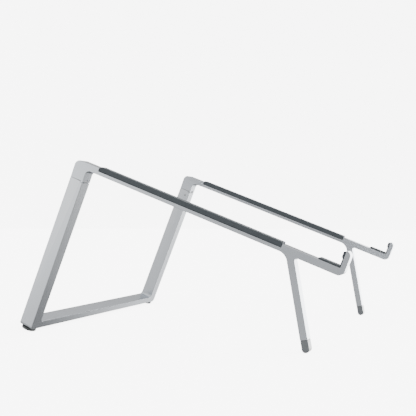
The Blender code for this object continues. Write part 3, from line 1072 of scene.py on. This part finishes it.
    def _cut_hinge(self, piece: Piece) -> None:
        """Join the two lugs on, and cut the pocket for the eye and the bore for the pin."""
        for depths in HINGE.lug_depths:
            combine(piece, side_rod("lug", self.side, depths, (0, 0), HINGE.lug, 64), join=True)
        outer, inner = HINGE.lug_depths
        combine(piece, hinge_pocket(self.side, (outer[1], inner[0]), 1))
        out = HINGE.post_width + HINGE.past
        combine(piece, side_rod("bore", self.side, (HINGE.pin_start, out), (0, 0), HINGE.bore))

    def _add_tenon(self, piece: Piece) -> None:
        """Join the tenon that the cap is pushed over."""
        width, thickness, length = self.tenon
        depths = (self.middle - width / 2, self.middle + width / 2)
        tool = side_block(
            "tenon", self.side, depths, (-thickness / 2, -length), (thickness / 2, HINGE.past)
        )
        self._stand_on_leg(tool, self.leg_end)
        combine(piece, tool, join=True)

    def _stand_on_leg(self, piece: Piece, along: float) -> None:
        """Move a piece modelled upright so that its Z runs up the leg from a distance down it."""
        y, z = self.leg_point(along, 0)
        turn = Matrix.Rotation(self.leg_angle - math.pi / 2, 4, "X")
        piece.matrix_world = Matrix.Translation((0, y, z)) @ turn
        keep_place(piece)

    def _peg_places(self) -> list[float]:
        """Return the Y of each peg under the rail pad."""
        span = self.recess_rear - self.recess_front
        return [self.recess_front + span * (index + 0.5) / self.pegs for index in range(self.pegs)]

    def _peg_rod(self, y: float, radius: float, below: float, above: float) -> Piece:
        """Make a short rod square to the rail's seat."""
        x = across(self.side, self.middle)
        seat = self.rail_seat
        return rod("peg", (x, y, seat - below), (x, y, seat + above), radius, 32)

    def build_rail_pad(self) -> Piece:
        """Mould the strip in the rail's recess, with soft edges and its pegs.

        Returns:
            The pad in the leaning frame.
        """
        rear = self.recess_rear - self.gap
        front = self.recess_front + self.gap
        piece = side_block(
            f"{self.side.word}_rail_strip", self.side, (self.pad_inset, self.width - self.pad_inset),
            (front, self.rail_seat + self.gap), (rear, self.pad_top),
        )
        with shaping(piece):
            for y in (front, rear):
                round_edges(at(y, self.pad_top), self.pad_end, segments=8)
        soften(piece, self.strip_edge, 4)
        for y in self._peg_places():
            combine(piece, self._peg_rod(y, self.peg, self.peg_depth, self.gap * 3), join=True)
        return piece

    def build_hook_pad(self) -> Piece:
        """Mould the L-shaped lining: a flat along the arm and a thicker lip up the hook.

        Returns:
            The lining in the leaning frame.
        """
        back = self.hook_rear + self.gap
        floor = self.rail_top + self.gap
        end = self.hook_rear + self.lining_reach
        thin = self.hook_rear + self.lining_thin
        thick = self.hook_rear + self.lining_thick
        top = self.hook_top - self.lining_drop
        step = self.pad_top + self.lining_step
        ramp = self.lining_thick - self.lining_thin
        piece = side_block(
            f"{self.side.word}_hook_lining", self.side, (self.pad_inset, self.width - self.pad_inset),
            (back, floor), (end, self.pad_top),
        )
        with shaping(piece):
            cut_through((0, thin, 0), (0, 1, 0))
            for height in (step - ramp - self.pad_top, ramp, top - step):
                draw_out(lambda middle, way: way.z > FACING and middle.y < thin, (0, 0, height))
            shift(
                lambda middle, way: abs(middle.y - thin) < NEAR and middle.z > step - NEAR,
                (0, thick - thin, 0),
            )
            join_flat_faces()
            round_edges(at(thick, top), self.lining_top, segments=8)
            round_edges(at(end, self.pad_top), self.pad_end, segments=8)
        soften(piece, self.lining_edge)
        return piece

    def build_cap(self) -> Piece:
        """Mould the boot over the leg's tenon, with a round tip.

        Returns:
            The cap in the leaning frame.
        """
        half = self.leg_thickness / 2
        length = self.cap_length
        piece = side_block(
            f"{self.side.word}_leg_boot", self.side, (0, self.width), (-half, -length), (half, -self.gap)
        )
        with shaping(piece):
            for y in (-half, half):
                round_edges(at(y, -length), half * self.cap_tip, segments=14)
            middle_x = across(self.side, self.middle)
            round_edges(
                lambda middle, way: abs(abs(middle.x - middle_x) - self.middle) < SLACK
                and middle.z < -self.gap * 2,
                self.cap_edge, segments=6,
            )
        soften(piece, EDGE, 4)
        width, thickness, depth = self.tenon
        pocket = side_block(
            "pocket", self.side,
            (self.middle - width / 2 - self.gap, self.middle + width / 2 + self.gap),
            (-thickness / 2 - self.gap, -depth - self.gap), (thickness / 2 + self.gap, HINGE.past),
        )
        combine(piece, pocket)
        self._stand_on_leg(piece, self.leg_end)
        return piece

    def dress(self, finishes: Finishes) -> None:
        """Build and place the arm's pieces, and give the pin and washers their finishes."""
        body = Body.arm(self.side)
        word = self.side.word
        show(self.build(), LEAN, body, Slot.ALUMINIUM, finishes, f"{word}_side_arm")
        show(self.build_rail_pad(), LEAN, body, Slot.SILICONE, finishes, f"{word}_rail_pad")
        show(self.build_hook_pad(), LEAN, body, Slot.SILICONE, finishes, f"{word}_hook_pad")
        show(self.build_cap(), LEAN, body, Slot.CAP, finishes, f"{word}_leg_cap")
        dress_node(f"{word}_hinge_pin", Slot.STEEL, finishes)
        for place in ("outer", "inner"):
            dress_node(f"{word}_hinge_washer_{place}", Slot.ACETAL, finishes)


# --- studio ---


def toward(azimuth: float, elevation: float) -> Vector:
    """Return the unit vector at an azimuth and an elevation, in radians."""
    level = math.cos(elevation)
    return Vector((level * math.cos(azimuth), level * math.sin(azimuth), math.sin(elevation)))


@dataclass(frozen=True)
class Glow:
    """A soft-edged round patch of light in the room, far away.

    Attributes:
        azimuth: its direction round the stand, from +X towards +Y, in degrees.
        elevation: its direction above the floor, in degrees.
        inner: the angle from its middle to where it starts to fade, in degrees.
        outer: the angle to where it has faded, in degrees.
        strength: how much it adds; below 0 it is a dark card.
    """

    azimuth: float
    elevation: float
    inner: float
    outer: float
    strength: float

    def light(self, tree: Tree, way: Socket) -> Socket:
        """Return the light that the patch adds in a direction of the room.

        Args:
            tree: the room's node tree.
            way: the direction.

        Returns:
            The light, from 0 to the patch's strength.
        """
        middle = toward(math.radians(self.azimuth), math.radians(self.elevation))
        nearness = add_node(tree, "VectorMath", {"operation": "DOT_PRODUCT"}, in_0=way, in_1=middle)
        fade = add_node(
            tree, "MapRange", {"interpolation_type": "SMOOTHSTEP"},
            Value=nearness.outputs["Value"], From_Min=math.cos(math.radians(self.outer)),
            From_Max=math.cos(math.radians(self.inner)), To_Max=self.strength,
        )
        return fade.outputs[0]


@dataclass
class Studio:
    """The floor, the white surround, the soft light of the room and the camera."""

    camera_place: Place = (-0.6378, -0.2455, 0.0994)
    camera_yaw: float = math.radians(22.21)
    camera_pitch: float = math.radians(0.96)
    camera_roll: float = math.radians(0.22)
    lens: float = 61.22
    sensor: float = 36.0
    clip: Pair = (0.01, 50.0)
    fibre: float = 1.5
    paper: tuple[str, str] = ("#f6f6f6", "#fafafa")
    paper_roughness: float = 0.95
    floor_size: float = 16.0
    surround_radius: float = 7.0
    floor_glow: float = 6.7
    surround_glow: float = 6.6
    room: float = 0.7
    glows: tuple[Glow, ...] = (
        Glow(-7.0, 2.0, 11.0, 18.0, 8.0),
        Glow(-10.0, -12.0, 12.0, 20.0, 1.6),
        Glow(-60.0, 10.0, 12.0, 28.0, 8.0),
        Glow(135.0, 8.0, 9.0, 21.0, 1.3),
        Glow(140.0, 8.0, 12.0, 40.0, 0.25),
        Glow(0.0, 90.0, 15.0, 75.0, 0.7),
        Glow(-35.0, -27.0, 9.0, 22.0, -0.6),
        Glow(30.0, -40.0, 12.0, 40.0, -0.5),
        Glow(-30.0, -70.0, 15.0, 38.0, -0.3),
    )

    def _make_paper(self, name: str, glow: float) -> bpy.types.Material:
        """Make pale matt paper, lit through from behind.

        Args:
            name: the material's name.
            glow: how bright the light through it is.

        Returns:
            The material.
        """
        material = bpy.data.materials.new(name)
        material.use_nodes = True
        tree = material.node_tree
        shader = tree.nodes["Principled BSDF"]
        coordinates = add_node(tree, "TexCoord")
        fibre = add_node(
            tree, "TexNoise", Vector=coordinates.outputs["Object"], Scale=per_mm(self.fibre),
            Detail=4.0,
        )
        darker, lighter = self.paper
        tone = add_node(
            tree, "Mix", {"data_type": "RGBA"}, Factor=fibre.outputs["Fac"],
            in_6=linear(darker), in_7=linear(lighter),
        )
        tree.links.new(tone.outputs["Result"], shader.inputs["Base Color"])
        shader.inputs["Roughness"].default_value = self.paper_roughness
        shader.inputs["Emission Color"].default_value = (1.0, 1.0, 1.0, 1.0)
        shader.inputs["Emission Strength"].default_value = glow
        return material

    def _set_stage(self, piece: Piece, name: str, glow: float) -> None:
        """Make a piece part of the stage, which the camera sees and the stand's metal and rubber don't."""
        piece.name = name
        piece.data.materials.append(self._make_paper(f"{name}_paper", glow))
        piece.visible_glossy = False
        piece.visible_diffuse = False

    def build_floor(self) -> None:
        """Lay the pale floor, and stand a white surround round it."""
        bpy.ops.object.select_all(action="DESELECT")
        bpy.ops.mesh.primitive_plane_add(size=self.floor_size, location=(0, 0, 0))
        self._set_stage(bpy.context.active_object, "studio_floor", self.floor_glow)
        bpy.ops.object.select_all(action="DESELECT")
        bpy.ops.mesh.primitive_uv_sphere_add(segments=48, ring_count=24, radius=self.surround_radius)
        surround = bpy.context.active_object
        surround.visible_shadow = False
        self._set_stage(surround, "studio_surround", self.surround_glow)

    def build_room(self) -> None:
        """Light the room: even and soft, with a few broad glows and three dark cards."""
        world = bpy.data.worlds.new("studio_room")
        bpy.context.scene.world = world
        world.use_nodes = True
        tree = world.node_tree
        tree.nodes.clear()
        way = add_node(tree, "TexCoord").outputs["Generated"]
        level = add_node(tree, "Value").outputs[0]
        level.default_value = self.room
        for glow in self.glows:
            light = glow.light(tree, way)
            level = add_node(tree, "Math", {"operation": "ADD"}, in_0=level, in_1=light).outputs[0]
        background = add_node(tree, "Background", Color=(1.0, 1.0, 1.0, 1.0), Strength=level)
        add_node(tree, "OutputWorld", Surface=background.outputs[0])

    def build_camera(self) -> None:
        """Set the camera up low at the front left, looking along the stand's width."""
        data = bpy.data.cameras.new("camera")
        data.lens = self.lens
        data.sensor_width = self.sensor
        data.clip_start, data.clip_end = self.clip
        camera = bpy.data.objects.new("camera", data)
        forward = toward(self.camera_yaw, self.camera_pitch)
        right = forward.cross(Vector((0, 0, 1))).normalized()
        up = right.cross(forward)
        cosine, sine = math.cos(self.camera_roll), math.sin(self.camera_roll)
        axes = (cosine * right + sine * up, cosine * up - sine * right, -forward)
        turn = Matrix(axes).transposed().to_4x4()
        camera.matrix_world = Matrix.Translation(self.camera_place) @ turn
        bpy.context.scene.collection.objects.link(camera)
        bpy.context.scene.camera = camera

    def build(self) -> None:
        """Set up everything that isn't the stand."""
        self.build_floor()
        self.build_room()
        self.build_camera()


def main() -> None:
    """Build the stand's looks and its studio."""
    logging.basicConfig(level=logging.INFO, format="%(name)s: %(message)s")
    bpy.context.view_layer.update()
    finishes = Finishes()
    Studio().build()
    RearFrame().dress(finishes)
    for side in Side:
        SideArm(side).dress(finishes)


if __name__ == "__main__":
    main()
